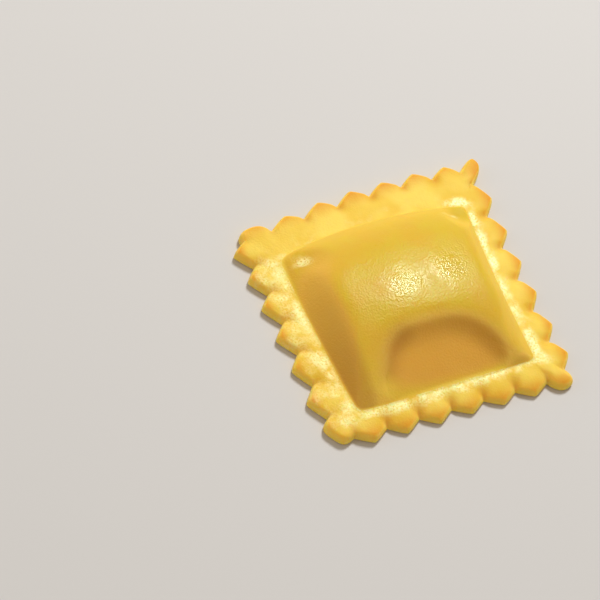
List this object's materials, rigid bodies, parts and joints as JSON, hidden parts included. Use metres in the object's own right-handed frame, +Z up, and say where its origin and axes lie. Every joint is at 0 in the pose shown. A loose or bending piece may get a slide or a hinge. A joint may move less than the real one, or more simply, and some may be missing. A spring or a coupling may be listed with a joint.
{
  "type": "ravioli",
  "caption": "Square filled pasta parcel: a soft pillow of filling inside a thin sealed rim with a fluted, tooth-cut edge and a long lobe at one corner.",
  "frame": {"origin": "middle of the flat base, at the centre of the outline's bounding box", "axes": "+Z up through the pillow, +X to the right and +Y to the back along the sides of the square, with the long corner lobe at +X +Y"},
  "size_m": [0.0478, 0.0476, 0.009],
  "materials": {
    "dough": "satin"
  },
  "bodies": {
    "root": {"ravioli": "dough"}
  },
  "joints": []
}
